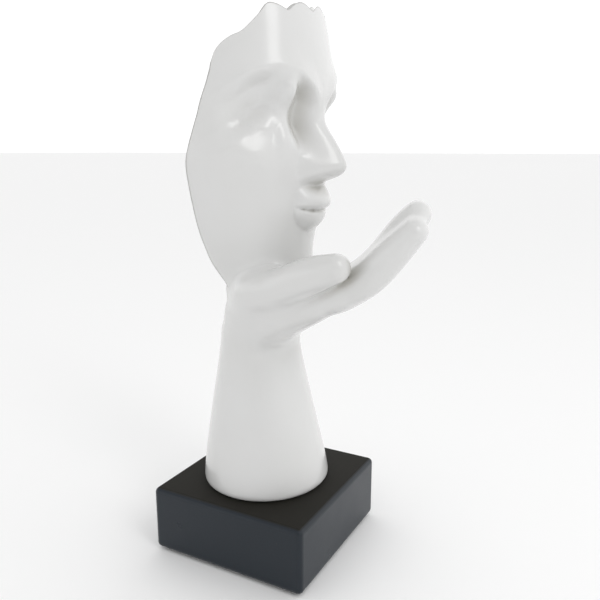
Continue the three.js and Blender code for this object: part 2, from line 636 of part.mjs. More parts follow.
function handAndForearm() {
  const below = FOOT_ROUND;
  const figure = (x, y, z) => Math.max(handDistance(x, y, z), -below - z);
  const joints = [...FINGERS.flat(), ...THUMB, ...HEEL_PAD];
  const least = (axis, foot) => Math.min(foot, ...joints.map((j) => j[axis] - j[3])) - SKIN_MARGIN;
  const most = (axis, foot) => Math.max(foot, ...joints.map((j) => j[axis] + j[3])) + SKIN_MARGIN;
  const xs = spread(least(0, -FOOT_HALF_WIDTH), most(0, FOOT_HALF_WIDTH), SKIN_STEP);
  const heel = FOOT_BACK + FOOT_HALF_DEPTH;
  const ys = spread(least(1, heel - 2 * FOOT_HALF_DEPTH), most(1, heel), SKIN_STEP);
  const slender = 0.6 * FOREARM_HEIGHT;
  const column = spread(2 * FOOT_ROUND, slender, FOREARM_STEP);
  const upper = spread(slender + SKIN_STEP, FOREARM_HEIGHT + most(2, 0), SKIN_STEP);
  const zs = [-1.5 * below, -0.5 * below, 0.2 * FOOT_ROUND, 0.8 * FOOT_ROUND, ...column, ...upper];
  const body = skin(figure, xs, ys, zs);
  body.translate(0, 0, FIGURE_LEVEL);
  const under = new THREE.BoxGeometry(4 * FOOT_HALF_WIDTH, 4 * FOOT_HALF_DEPTH, 4 * below);
  under.translate(0, 0, FIGURE_LEVEL - 2 * below);
  const seat = faceShell(SEAT_GAP);
  seat.translate(0, 0, CHIN_LEVEL);
  let casting = solid(body).subtract(solid(under)).subtract(solid(seat));
  casting = casting.subtract(hole(STUD_DIAMETER, FIGURE_LEVEL - below, STUD_TOP + SEAT_GAP));
  casting = casting.subtract(hole(DOWEL_DIAMETER, FIGURE_LEVEL - below, DOWEL_TOP + SEAT_GAP, 0, DOWEL_Y));
  return geometryOf(PINS.reduce((rest, one) => rest.subtract(pinHole(one)), casting));
}

function plinth() {
  const block = new RoundedBoxGeometry(PLINTH_SIDE, PLINTH_SIDE, PLINTH_HEIGHT, 3, PLINTH_EDGE);
  block.translate(0, 0, (PLINTH_BOTTOM + PLINTH_TOP) / 2);
  const recess = WASHER_DIAMETER + 2 * COUNTERBORE_CLEARANCE;
  const counterbore = bar(recess, PLINTH_BOTTOM - 1, PLINTH_BOTTOM + COUNTERBORE_DEPTH);
  let body = solid(block).subtract(solid(counterbore));
  body = body.subtract(hole(STUD_DIAMETER, PLINTH_BOTTOM, PLINTH_TOP + 1));
  body = body.subtract(hole(DOWEL_DIAMETER, DOWEL_BOTTOM - SEAT_GAP, PLINTH_TOP + 1, 0, DOWEL_Y));
  return geometryOf(body);
}

function washer() {
  const top = WASHER_LEVEL + WASHER_THICKNESS;
  const disc = solid(bar(WASHER_DIAMETER, WASHER_LEVEL, top));
  return geometryOf(disc.subtract(hole(STUD_DIAMETER, WASHER_LEVEL - 1, top + 1)));
}

function hexNut() {
  const corner = NUT_ACROSS_FLATS / Math.sqrt(3);
  const hexagon = new THREE.CylinderGeometry(corner, corner, NUT_HEIGHT, 6);
  hexagon.rotateX(Math.PI / 2);
  hexagon.translate(0, 0, NUT_LEVEL + NUT_HEIGHT / 2);
  return geometryOf(solid(hexagon).subtract(hole(STUD_DIAMETER, NUT_LEVEL - 1, NUT_LEVEL + NUT_HEIGHT + 1)));
}

function baseFelt() {
  const half = PLINTH_SIDE / 2 - FELT_INSET;
  const sheet = new THREE.Shape();
  sheet.moveTo(half, FELT_CORNER - half);
  for (let turn = 0; turn < 4; turn += 1) {
    const angle = (turn * Math.PI) / 2;
    const centre = new THREE.Vector2(half - FELT_CORNER, half - FELT_CORNER);
    centre.rotateAround(new THREE.Vector2(), angle);
    sheet.absarc(centre.x, centre.y, FELT_CORNER, angle, angle + Math.PI / 2);
  }
  return new THREE.ExtrudeGeometry(sheet, { depth: FELT_THICKNESS, bevelEnabled: false, curveSegments: 4 });
}

// Finishes
function finish(color, roughness, metalness) {
  return () => new THREE.MeshStandardMaterial({ color, roughness, metalness });
}
const whiteResin = finish(0xe8e7e3, 0.2, 0);
const blackPaint = finish(0x1c1e21, 0.4, 0);
const steel = finish(0xb4b8bc, 0.35, 0.9);
const felt = finish(0x2a2c2a, 0.95, 0);

const sculpture = new THREE.Group();
function addPart(name, geometry, material) {
  const mesh = new THREE.Mesh(geometry, material());
  mesh.name = name;
  sculpture.add(mesh);
}

addPart("face_mask", faceMask(), whiteResin);
addPart("hand_and_forearm", handAndForearm(), whiteResin);
PINS.forEach(({ name, x, y, from, to }) => addPart(name, bar(PIN_DIAMETER, from, to, x, y), steel));
addPart("plinth", plinth(), blackPaint);
addPart("threaded_stud", bar(STUD_DIAMETER, STUD_BOTTOM, STUD_TOP), steel);
addPart("washer", washer(), steel);
addPart("hex_nut", hexNut(), steel);
addPart("locating_dowel", bar(DOWEL_DIAMETER, DOWEL_BOTTOM, DOWEL_TOP, 0, DOWEL_Y), steel);
addPart("base_felt", baseFelt(), felt);

export default sculpture;
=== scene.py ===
"""Looks of the sculpture: a gloss white face mask on an open right hand, on a satin black plinth."""
import math

import bpy
import numpy as np
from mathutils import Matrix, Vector


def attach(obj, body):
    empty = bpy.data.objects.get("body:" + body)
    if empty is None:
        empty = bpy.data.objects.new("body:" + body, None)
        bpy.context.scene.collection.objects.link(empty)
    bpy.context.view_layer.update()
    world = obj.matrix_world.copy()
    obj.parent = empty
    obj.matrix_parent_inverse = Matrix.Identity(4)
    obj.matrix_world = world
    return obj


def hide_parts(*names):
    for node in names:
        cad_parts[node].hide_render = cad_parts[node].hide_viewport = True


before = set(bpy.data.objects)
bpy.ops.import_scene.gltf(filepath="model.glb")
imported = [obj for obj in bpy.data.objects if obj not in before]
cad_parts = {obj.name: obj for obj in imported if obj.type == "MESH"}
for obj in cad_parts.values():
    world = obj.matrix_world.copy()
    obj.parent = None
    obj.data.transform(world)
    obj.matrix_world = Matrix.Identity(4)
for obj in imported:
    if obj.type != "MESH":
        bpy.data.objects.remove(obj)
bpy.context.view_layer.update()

MM = 0.001
TINY = 1e-6

# Levels in millimetres over the floor
FIGURE_LEVEL = 40.8
FOREARM_HEIGHT = 110.7
WRIST_LEVEL = FIGURE_LEVEL + FOREARM_HEIGHT
CHIN_LEVEL = WRIST_LEVEL + 22


# Curves
def hermite(t, start, end, start_slope, end_slope):
    return ((1 + 2 * t) * (1 - t) ** 2 * start + t * (1 - t) ** 2 * start_slope
            + t * t * (3 - 2 * t) * end + t * t * (t - 1) * end_slope)


def profile(length, size, knots):
    """A smooth curve through (place, value) knots in percent of a length and a size, level past its ends."""
    k = np.array(knots, float)
    at, value = k[:, 0] * length / 100, k[:, 1] * size / 100
    gap = np.diff(at)
    steep = np.diff(value) / gap
    slope = np.zeros(len(at))
    slope[0], slope[-1] = steep[0], steep[-1]
    slope[1:-1] = (steep[:-1] * gap[1:] + steep[1:] * gap[:-1]) / (gap[:-1] + gap[1:])

    def fn(z):
        z = np.clip(z, at[0], at[-1])
        i = np.clip(np.searchsorted(at, z, side="right") - 1, 0, len(gap) - 1)
        t = (z - at[i]) / gap[i]
        return hermite(t, value[i], value[i + 1], gap[i] * slope[i], gap[i] * slope[i + 1])
    return fn


def ease(t):
    t = np.clip(t, 0, 1)
    return t * t * (3 - 2 * t)


def onset(value, start, length):
    """Rises from nought at a start to one a length later."""
    return ease((value - start) / length)


def bell(t):
    return np.exp(-0.5 * t * t)


def hump(place, low, high):
    """A hump of height one between nought and one; the powers shape its two ends."""
    u = np.clip(place, 0, 1)
    top = low / (low + high)
    return u ** low * (1 - u) ** high / (top ** low * (1 - top) ** high)


def blend(a, b, width):
    """The lower of two distances, rounded over a width where they meet."""
    h = np.clip(0.5 + 0.5 * (b - a) / width, 0, 1)
    return b * (1 - h) + a * h - width * h * (1 - h)


def unit(vectors):
    return vectors / np.linalg.norm(vectors, axis=-1, keepdims=True)


# Face: sections by height over the chin. Chin, nose base, brow and hairline lie a third apart.
FACE_HEIGHT = 135.0
FACE_HALF_WIDTH = 52.0
FRONT_DEPTH = 37.2
BACK_DEPTH = 17.0
NOSE_BASE = FACE_HEIGHT / 3
BROW = 2 * FACE_HEIGHT / 3
NOSE_LENGTH = 47.0
NOSE_OUT = 17.5
NOSE_HALF_WIDTH = 17.5
BROW_ARCH = 13.4
half_width = profile(FACE_HEIGHT, FACE_HALF_WIDTH, [
    (-16, 31), (-3, 50), (6, 65), (17, 81), (28, 91), (41, 98), (54, 100), (73, 96), (87, 88), (104, 77)])
front = profile(FACE_HEIGHT, FRONT_DEPTH, [
    (-16, 69), (0, 74), (9, 72.5), (17, 76), (24, 82), (33, 85),
    (47, 89), (58, 93), (68, 100), (82, 97), (95, 90), (104, 82)])
sides_back = profile(FACE_HEIGHT, BACK_DEPTH, [(-16, 82), (6, 94), (41, 100), (73, 88), (104, 59)])
rim_back = profile(FACE_HEIGHT, BACK_DEPTH, [
    (-16, 30), (-9, 68), (1, 97), (10, 98.5), (22, 97.5), (34, 95),
    (41, 93), (50, 78), (61, 48), (72, 18.5), (76, 11.5)])
crown = profile(100, FACE_HEIGHT, [
    (0, 97.8), (24, 97), (38, 96), (45, 95.9), (50, 94.6), (55, 91.6), (60, 88.7), (66, 87.3), (80, 87)])
nose_out = profile(NOSE_LENGTH, NOSE_OUT, [
    (-1, 0), (2, 14), (6, 44), (10, 74), (15, 93), (23, 100),
    (32, 89), (49, 58), (70, 16), (87, 2), (100, 0)])
nose_half = profile(NOSE_LENGTH, NOSE_HALF_WIDTH, [
    (-4, 94), (4, 100), (15, 100), (32, 97), (45, 91), (70, 69), (100, 57)])
brow_line = profile(FACE_HALF_WIDTH, BROW_ARCH, [
    (0, -30), (13, 4), (27, 45), (39, 82), (54, 100), (68, 86), (79, 63), (88, 22), (98, -22)])

# Mounds on the face: (place across, place up, half width, half height, out)
NOSE_WING = (12.5, 5, 4, 5, 0.8)
LID_FOLD = (24.5, 2.5, 4.5, 5.5, 4)
CHEEKS = [(36, 62, 12, 9, 1.5), (32, 35, 10, 10, -1.5), (0, 34, 14, 10, 1.2)]

# Stretches across the face: (from, full, fade, to)
BROW_ACROSS = (2, 12, 40, 50)
LID_ACROSS = (22, 31, 40, 50)
ROLL_ACROSS = (24, 32, 41, 47)

# Eye sockets: the roof, slope and ends are (start under the brow line, length)
SOCKET_ROOF = (-2, 9)
ROOF_SHARE = 0.6
INNER_AT = 14.5
INNER_HALF = 4.4
INNER_DEEP = 9.5
INNER_END = (18, 19)
INNER_WIDENING = 2.6
WIDENING_START = 6
WIDENING_LENGTH = 20
OUTER_AT = 37
OUTER_HALF = 8
OUTER_DEEP = 8
OUTER_SLOPE = (-3, 20)
OUTER_END = (14, 16)

# Closed lid: its edge hangs in an arc under the brow, with a roll over the edge and a slope under it
EYE_AT = 34.5
EYE_HALF = 11
LID_START = 3
LID_DROP = 16.8
LID_ARC = 7.0
LID_DEEP = 3.2
UNDER_LID = 17
UNDER_LID_MORE = 11
UNDER_LID_FROM = 40
UNDER_LID_CHANGE = 20
ROLL_OUT = 0.5
ROLL_TALL = 9
ROLL_ENDS = (0.6, 1)

# Brow ridge: its place is under the brow line
RIDGE_AT = -1
RIDGE_HALF = 5.5
RIDGE_OUT = 1.6

# Nose: powers of its cross-section; its flanks hollow out over a stretch (start, length) up from the base
NOSE_RIDGE_POWER = 1.35
NOSE_FLANK_POWER = 1.4
NOSE_FLANK_MORE = 0.3
NOSE_FLANK_STRETCH = (5, 15)

# Mouth: its line lies under the nose's base and rises to the corners; ends are powers of a lip's hump
MOUTH_HALF = 16.5
MOUTH_DROP = 13.2
MOUTH_FADE = 0.75
CORNER_RISE = 2.0
UPPER_TALL = 14.2
UPPER_FADE = 0.2
UPPER_OUT = 6.8
UPPER_ENDS = (0.5, 1.0)
LOWER_TALL = 12.0
LOWER_FADE = 0.5
LOWER_OUT = 4.9
LOWER_ENDS = (0.75, 0.85)
LIP_DIP = 1.0
LIP_DIP_HALF = 4.5
LEAST_LIP = 0.01
LINE_FILL = 1.5
LINE_FILL_HALF = 2

# Shell: walls, the seat in the palm, and the top edge with its corners and scallops in degrees
WALL = 6.0
CROWN_WALL = 3.5
WALL_REACH = 0.7 * WALL
RIM_ROUND = 2.0
SEAT = -13.0
CORNER_LEVEL = 103.0
CORNER_DROP = 13.0
CORNER_DEGREES = 13.0
SCALLOP_PITCH = 23.3
SCALLOP_AT = 18.0
SCALLOP_RISE = 4.0
SCALLOP_SOFTNESS = 0.12
SCALLOP_END = 44.0
SCALLOP_FADE = 8.0


def mound(form, a, height):
    x, z, half, tall, out = form
    return out * bell((a - x) / half) * bell((height - z) / tall)


def within(stretch, a):
    start, full, fade, end = stretch
    return ease((a - start) / (full - start)) * ease((end - a) / (end - fade))


def eye_relief(a, z):
    """Brow, sockets and closed lid: the main form, and the lid's roll on it."""
    below = BROW + brow_line(a) - z
    roof = onset(below, *SOCKET_ROOF)
    widening = INNER_WIDENING * onset(BROW + WIDENING_START - z, 0, WIDENING_LENGTH)
    reach = INNER_HALF + np.where(a < INNER_AT, 0, widening)
    inner = INNER_DEEP * bell((a - INNER_AT) / reach) * roof * (1 - onset(below, *INNER_END))
    slope = ROOF_SHARE * roof + (1 - ROOF_SHARE) * onset(below, *OUTER_SLOPE)
    outer = OUTER_DEEP * bell((a - OUTER_AT) / OUTER_HALF) * slope * (1 - onset(below, *OUTER_END))
    edge = BROW - LID_DROP + LID_ARC * np.clip(np.abs(a - EYE_AT) / EYE_HALF, 0, 1) ** 2
    top = BROW + LID_START
    under = UNDER_LID + UNDER_LID_MORE * onset(UNDER_LID_FROM - a, 0, UNDER_LID_CHANGE)
    lid = LID_DEEP * ease((top - z) / (top - edge)) * (1 - ease((edge - z) / under)) * within(LID_ACROSS, a)
    ridge = RIDGE_OUT * bell((below - RIDGE_AT) / RIDGE_HALF) * within(BROW_ACROSS, a)
    roll = ROLL_OUT * within(ROLL_ACROSS, a) * hump((z - edge) / ROLL_TALL, *ROLL_ENDS)
    return ridge + mound(LID_FOLD, a, z - BROW) - inner - outer - lid, roll


def nose_relief(a, z):
    n = z - NOSE_BASE
    t = np.clip(a / nose_half(n), 0, 1)
    power = NOSE_FLANK_POWER + NOSE_FLANK_MORE * onset(n, *NOSE_FLANK_STRETCH)
    return nose_out(n) * (1 - t ** NOSE_RIDGE_POWER) ** power + mound(NOSE_WING, a, n)


def lip_relief(a, z):
    span = np.clip(1 - (a / MOUTH_HALF) ** 2, TINY, 1)
    line = NOSE_BASE - MOUTH_DROP + CORNER_RISE * (1 - span)
    upper = np.maximum(UPPER_TALL * span ** UPPER_FADE - LIP_DIP * bell(a / LIP_DIP_HALF), LEAST_LIP)
    lower = LOWER_TALL * span ** LOWER_FADE
    out = UPPER_OUT * hump((z - line) / upper, *UPPER_ENDS)
    out = out + LOWER_OUT * hump((line - z) / lower, *LOWER_ENDS)
    return span ** MOUTH_FADE * (out + LINE_FILL * bell((z - line) / LINE_FILL_HALF))


def cheek_relief(a, z):
    return sum(mound(form, a, z) for form in CHEEKS)


def form_relief(a, z):
    return eye_relief(a, z)[0] + nose_relief(a, z) + cheek_relief(a, z)


def scallop(angle):
    t = np.degrees(angle)
    wave = np.hypot(np.cos(np.pi * (t - SCALLOP_AT) / SCALLOP_PITCH), SCALLOP_SOFTNESS)
    return wave * (1 - onset(np.abs(t), SCALLOP_END, SCALLOP_FADE))


def rim_angle(z):
    return np.arccos((sides_back(z) - rim_back(z)) / (front(z) + sides_back(z)))


def top_edge(angle):
    t = np.abs(np.degrees(angle))
    last = np.degrees(rim_angle(np.array(CORNER_LEVEL)))
    q = np.clip((t - last + CORNER_DEGREES) / CORNER_DEGREES, 0, 1)
    return crown(t) + SCALLOP_RISE * scallop(angle) - CORNER_DROP * (1 - np.sqrt(1 - q * q))


def outer_relief(angle, z):
    a = np.abs(half_width(z) * np.sin(angle))
    form, roll = eye_relief(a, z)
    return form + roll + nose_relief(a, z) + lip_relief(a, z) + cheek_relief(a, z)


def inner_relief(angle, z):
    """The inner side keeps behind the deepest relief close by."""
    a = np.abs(half_width(z) * np.sin(angle))
    near = [(0, 0), (WALL_REACH, 0), (-WALL_REACH, 0), (0, WALL_REACH), (0, -WALL_REACH)]
    wall = WALL + (CROWN_WALL - WALL) * onset(z, BROW, FACE_HEIGHT - BROW)
    return np.minimum.reduce([form_relief(np.abs(a + s), z + u) for s, u in near]) - wall


def face_point(angle, z, relief):
    depth = front(z) + sides_back(z)
    stretch = 1 + relief / depth
    x = -half_width(z) * stretch * np.sin(angle)
    y = sides_back(z) - depth * stretch * np.cos(angle)
    return np.stack([x, y, z + CHIN_LEVEL], -1)


# The relief is held past an angle in radians, and arcs along the wall are taken a little short
HELD_ANGLE = 1.6
ARC_SHARE = 0.9


def shell_distance(p):
    """Rough distance to the mask's wall, good near the jaw."""
    z = p[..., 2] - CHIN_LEVEL
    w, back = half_width(z), sides_back(z)
    d = front(z) + back
    sx, sy = -p[..., 0] / w, (back - p[..., 1]) / d
    rho = np.maximum(np.hypot(sx, sy), TINY)
    angle = np.arctan2(sx, sy)
    scale = np.maximum(np.hypot(sx / w, sy / d) / rho, TINY)
    held = np.clip(angle, -HELD_ANGLE, HELD_ANGLE)
    outside = (rho - 1 - outer_relief(held, z) / d) / scale
    inside = (1 + inner_relief(held, z) / d - rho) / scale
    past_rim = (np.abs(angle) - rim_angle(z)) * d * ARC_SHARE - RIM_ROUND
    return np.maximum.reduce([outside, inside, past_rim])


# Hand: joints of the digits from the middle of the wrist, each (x, y, z, radius)
FINGERS = [
    [(-14, -6, -11.5, 13.5), (-20, -37, 3.6, 10.7), (-20, -55.5, 12, 7.8), (-20, -71, 20.6, 8.2),
     (-20, -83, 32.6, 7.9), (-20, -95.8, 46.6, 6.1)],
    [(-5, -6, -10.5, 13.5), (-6, -42, 7, 10.5), (-6, -58, 15, 8.6), (-6, -72, 29, 7.4),
     (-6, -84.3, 45.8, 6.7), (-6, -92.3, 54.8, 6)],
    [(6, -6, -8, 13.5), (8, -40, 7, 10.5), (7.5, -56, 14.5, 8.5), (7, -69, 27, 7),
     (6.5, -81, 43, 6.2), (6, -87.5, 51, 5.3)],
    [(15, -4, -8, 12.5), (20.5, -37, 6, 9.6), (20, -51, 12.5, 7.9), (19.5, -62, 22.5, 6.5),
     (19, -72.5, 36, 5.7), (18.5, -78.5, 43.5, 5)],
]
THUMB = [(-12.3, 3.8, -3, 13), (-22, -7, 8, 12.3), (-26.5, -24.5, 13.6, 11), (-31, -45, 22.8, 9.8),
         (-32.5, -60, 28.3, 7.6)]
HEEL_PAD = [(13, 8, -3, 13.5), (19, -4, 4.5, 12.5), (20.5, -22, 7, 11)]
KNUCKLE = 2
LIMB_STEPS = 8

# Widths over which the parts of the hand run into each other
PALM_BLEND = 8
FINGER_BLEND = 15
WRIST_BLEND = 8
KNUCKLE_BLEND = 5
THUMB_BLEND = 8
THUMB_TIP_BLEND = 3

# The thumb's blend narrows between these places along Y
THUMB_FREE_FROM = THUMB[2][1]
THUMB_FREE_TO = THUMB[3][1]

# Forearm: half sizes at the wrist and what the foot adds, and where its middle lies
WRIST_HALF_WIDTH = 24.5
FLARE_WIDTH = 15
WRIST_HALF_DEPTH = 21
FLARE_DEPTH = 17
FOOT_MIDDLE = 1
WRIST_LEAN = 3.6
FOOT_ROUND = 3.0
WRIST_ROUND = 20
taper = profile(FOREARM_HEIGHT, 1, [(0, 100), (10, 92), (28, 70), (46, 47), (62, 26), (78, 9), (100, 0)])
lean = profile(FOREARM_HEIGHT, 1, [(0, 0), (28, 50), (78, 100), (100, 100)])


def limb(joints):
    """Short tapered segments along a smooth curve through the joints, from the middle of the wrist."""
    k = np.array(joints, float)
    n = len(k) - 1
    tan = np.vstack([k[1] - k[0], (k[2:] - k[:-2]) / 2, k[-1] - k[-2]])
    t = (np.arange(n * LIMB_STEPS + 1) / LIMB_STEPS)[:, None]
    i = np.minimum(t.astype(int)[:, 0], n - 1)
    points = hermite(t - i[:, None], k[i], k[i + 1], tan[i], tan[i + 1])
    points[:, 2] += WRIST_LEVEL
    return points


METACARPALS = [limb(joints[:KNUCKLE + 1]) for joints in FINGERS]
PHALANGES = [limb(joints[KNUCKLE:]) for joints in FINGERS]
THUMB_LINE = limb(THUMB)
HEEL_LINE = limb(HEEL_PAD)


def limb_distance(p, points):
    nearest = np.full(p.shape[:-1], np.inf)
    for a, b in zip(points[:-1], points[1:]):
        ab = b[:3] - a[:3]
        t = np.clip(((p - a[:3]) @ ab) / (ab @ ab), 0, 1)
        away = np.linalg.norm(p - (a[:3] + t[..., None] * ab), axis=-1)
        nearest = np.minimum(nearest, away - a[3] - t * (b[3] - a[3]))
    return nearest


def limbs_distance(p, limbs, width):
    together = limb_distance(p, limbs[0])
    for one in limbs[1:]:
        together = blend(together, limb_distance(p, one), width)
    return together


def forearm_distance(p):
    x, y, z = p[..., 0], p[..., 1], p[..., 2] - FIGURE_LEVEL
    flare = taper(z)
    width = WRIST_HALF_WIDTH + FLARE_WIDTH * flare
    depth = WRIST_HALF_DEPTH + FLARE_DEPTH * flare
    middle = FOOT_MIDDLE + WRIST_LEAN * lean(z)
    side = (np.hypot(x / width, (y - middle) / depth) - 1) * np.minimum(width, depth)
    side = -blend(-side, z, FOOT_ROUND)
    return -blend(-side, FOREARM_HEIGHT - z, WRIST_ROUND)


def hand_distance(p):
    palm = limbs_distance(p, METACARPALS + [HEEL_LINE], PALM_BLEND)
    digits = limbs_distance(p, PHALANGES, FINGER_BLEND)
    hand = blend(forearm_distance(p), palm, WRIST_BLEND)
    hand = blend(hand, digits, KNUCKLE_BLEND)
    free = ease((THUMB_FREE_FROM - p[..., 1]) / (THUMB_FREE_FROM - THUMB_FREE_TO))
    thumb_blend = THUMB_BLEND - (THUMB_BLEND - THUMB_TIP_BLEND) * free
    return blend(hand, limb_distance(p, THUMB_LINE), thumb_blend)


# The castings run into each other in a soft fillet where the jaw lies in the palm.
# The fillet adds a quarter of its width at most. The hand's skin keeps a hair inside the mask's,
# and more so the further it is from the hand.
FILLET = 9.0
MOST_SWELL = FILLET / 4
FILLET_FROM = WRIST_LEVEL - 10
HAIR = 0.03
FALL_BACK = 0.05


def filleted_hand(p):
    hand = hand_distance(p)
    shell = shell_distance(p)
    shell = shell + HAIR + FALL_BACK * np.maximum(hand - shell, 0) ** 2
    return np.where(p[..., 2] > FILLET_FROM, blend(hand, shell, FILLET), hand)


# Skin: a coarse grid first, then every place near the surface, and last each point moved onto it
COARSE = 3
NEAR_CELLS = 3.2
BATCH = 40000
MOVES = 3
PROBE = 0.02
LEAST_SLOPE = 0.2
CELL_CORNERS = ((1, 1), (0, 1), (0, 0), (1, 0))


def grid_values(distance, low, high, cell):
    size = np.ceil((high - low) / cell).astype(int) + 1
    axes = [low[i] + cell * np.arange(size[i]) for i in range(3)]
    rough_axes = [a[::COARSE] for a in axes]
    rough = distance(np.stack(np.meshgrid(*rough_axes, indexing="ij"), -1))
    near = [np.minimum((np.arange(n) + COARSE // 2) // COARSE, len(r) - 1)
            for n, r in zip(size, rough_axes)]
    value = rough[np.ix_(*near)].copy()
    close = np.argwhere(np.abs(value) < NEAR_CELLS * cell * COARSE)
    batches = np.array_split(low + cell * close, len(close) // BATCH + 1)
    value[tuple(close.T)] = np.concatenate([distance(part) for part in batches])
    return value


def skin(distance, low, high, cell):
    """Points and four-sided facets on the surface where a distance is nought."""
    low, high = np.array(low, float), np.array(high, float)
    value = grid_values(distance, low, high, cell)
    ids = -np.ones(value.shape, int)
    total = np.zeros(value.shape + (3,))
    count = np.zeros(value.shape)
    rings = []
    for axis in range(3):
        here = [slice(None)] * 3
        there = [slice(None)] * 3
        here[axis], there[axis] = slice(None, -1), slice(1, None)
        va, vb = value[tuple(here)], value[tuple(there)]
        cross = np.argwhere((va < 0) != (vb < 0))
        a = va[tuple(cross.T)]
        b = vb[tuple(cross.T)]
        point = low + cell * cross.astype(float)
        point[:, axis] += cell * a / (a - b)
        u, v = (axis + 1) % 3, (axis + 2) % 3
        ring = []
        for du, dv in CELL_CORNERS:
            c = cross.copy()
            c[:, u] -= du
            c[:, v] -= dv
            np.add.at(total, tuple(c.T), point)
            np.add.at(count, tuple(c.T), 1)
            ring.append(c)
        ring = np.stack(ring, 1)
        flip = a > 0
        ring[flip] = ring[flip][:, ::-1]
        rings.append(ring)
    used = np.argwhere(count > 0)
    ids[tuple(used.T)] = np.arange(len(used))
    points = total[tuple(used.T)] / count[tuple(used.T)][:, None]
    quads = np.concatenate([ids[tuple(q.reshape(-1, 3).T)].reshape(-1, 4) for q in rings])
    for _ in range(MOVES):
        steps = PROBE * np.eye(3)
        grad = np.stack([distance(points + d) - distance(points - d) for d in steps], -1) / (2 * PROBE)
        move = (distance(points) / np.maximum((grad ** 2).sum(-1), LEAST_SLOPE))[:, None] * grad
        points = points - np.clip(move, -cell, cell)
    return points, quads


# Mask's mesh: columns lie closer at the nose, rows are level up to a height and then fan out to the top edge
COLUMNS = 220
ROW_GAP = 0.75
EVEN_SHARE = 0.62
LEVEL_ROWS_TO = 95.0
SOFTENING = 100
FILLET_REACH = 45
FILLET_MOVES = 8
RIM_RINGS = 8
RIM_SOFTENING = 150
RIM_THIN_POWER = 1.3
RIM_FULLNESS = 0.7


def soften(grid, times):
    """Each value moves towards the mean of its neighbours, some times over."""
    for _ in range(times):
        wide = np.pad(grid, 1, mode="edge")
        grid = grid / 2 + (wide[:-2, 1:-1] + wide[2:, 1:-1] + wide[1:-1, :-2] + wide[1:-1, 2:]) / 8
    return grid


def mask_grid():
    """Angle and height of each point of the shell's two sides."""
    u = np.linspace(-1, 1, COLUMNS)
    share = EVEN_SHARE * u + (1 - EVEN_SHARE) * u ** 3
    level = np.linspace(SEAT, LEVEL_ROWS_TO, int((LEVEL_ROWS_TO - SEAT) / ROW_GAP) + 1)
    tops = top_edge(rim_angle(np.array(CORNER_LEVEL)) * share)
    n = int((FACE_HEIGHT - LEVEL_ROWS_TO) / ROW_GAP) + 1
    z = np.array([np.full(COLUMNS, height) for height in level]
                 + [LEVEL_ROWS_TO + (tops - LEVEL_ROWS_TO) * (i + 1) / n for i in range(n)])
    return rim_angle(np.minimum(z, CORNER_LEVEL)) * share[None], z


def swell_to_fillet(points, way):
    """Moves the points near the palm out along their way, onto the fillet with the hand."""
    close = tuple(np.argwhere(points[..., 2] < CHIN_LEVEL + FILLET_REACH).T)
    start = points[close]
    swell = np.zeros(len(start))
    for _ in range(FILLET_MOVES):
        place = start + swell[:, None] * way[close]
        left = blend(hand_distance(place), shell_distance(place), FILLET)
        swell = np.clip(swell - left, 0, MOST_SWELL)
    points[close] = start + swell[:, None] * way[close]


def rim_rings(outer, inner, round_out):
    """Rings of points round the rim, from its outer to its inner edge, without the edges themselves."""
    middle = (outer + inner) / 2
    along = np.roll(middle, -1, 0) - np.roll(middle, 1, 0)
    outward = unit(np.cross(along, outer - inner))
    for _ in range(RIM_SOFTENING):
        outward = outward / 2 + (np.roll(outward, 1, 0) + np.roll(outward, -1, 0)) / 4
    outward = unit(outward)
    thick = np.linalg.norm(outer - inner, axis=1)
    amount = np.where(round_out, RIM_ROUND * np.minimum(thick / WALL, 1) ** RIM_THIN_POWER, 0)
    turns = np.pi * np.arange(1, RIM_RINGS) / RIM_RINGS
    return [middle + (outer - inner) / 2 * np.cos(turn)
            + outward * (amount * np.sin(turn) ** RIM_FULLNESS)[:, None] for turn in turns]


def mask_mesh():
    """The shell with a round rim; near the palm its skin swells into the fillet."""
    angle, z = mask_grid()
    rows = len(z)
    outer = face_point(angle, z, outer_relief(angle, z))
    inner = face_point(angle, z, soften(inner_relief(angle, z), SOFTENING))
    through = unit(outer - inner)
    swell_to_fillet(outer, through)
    swell_to_fillet(inner, -through)
    size = rows * COLUMNS
    ids = np.arange(size).reshape(rows, COLUMNS)
    face = np.stack([ids[:-1, :-1], ids[:-1, 1:], ids[1:, 1:], ids[1:, :-1]], -1).reshape(-1, 4)
    edge = np.concatenate([ids[0], ids[1:, -1], ids[-1, -2::-1], ids[-2:0:-1, 0]])
    outer, inner = outer.reshape(-1, 3), inner.reshape(-1, 3)
    rings = rim_rings(outer[edge], inner[edge], edge >= COLUMNS)
    ring_ids = 2 * size + np.arange(len(rings) * len(edge)).reshape(len(rings), len(edge))
    loops = [edge, *ring_ids, edge + size]
    quads = [face, face[:, ::-1] + size]
    for before, now in zip(loops[:-1], loops[1:]):
        quads.append(np.stack([np.roll(before, -1), before, now, np.roll(now, -1)], -1))
    return np.concatenate([outer, inner] + rings), np.concatenate(quads)


# Materials
def new_material(name):
    material = bpy.data.materials.new(name)
    material.use_nodes = True
    tree = material.node_tree
    return material, tree, tree.nodes["Principled BSDF"]


def noise(tree, scale, detail):
    coords = tree.nodes.new("ShaderNodeTexCoord")
    node = tree.nodes.new("ShaderNodeTexNoise")
    node.inputs["Scale"].default_value = scale
    node.inputs["Detail"].default_value = detail
    tree.links.new(coords.outputs["Object"], node.inputs["Vector"])
    return node.outputs["Fac"]


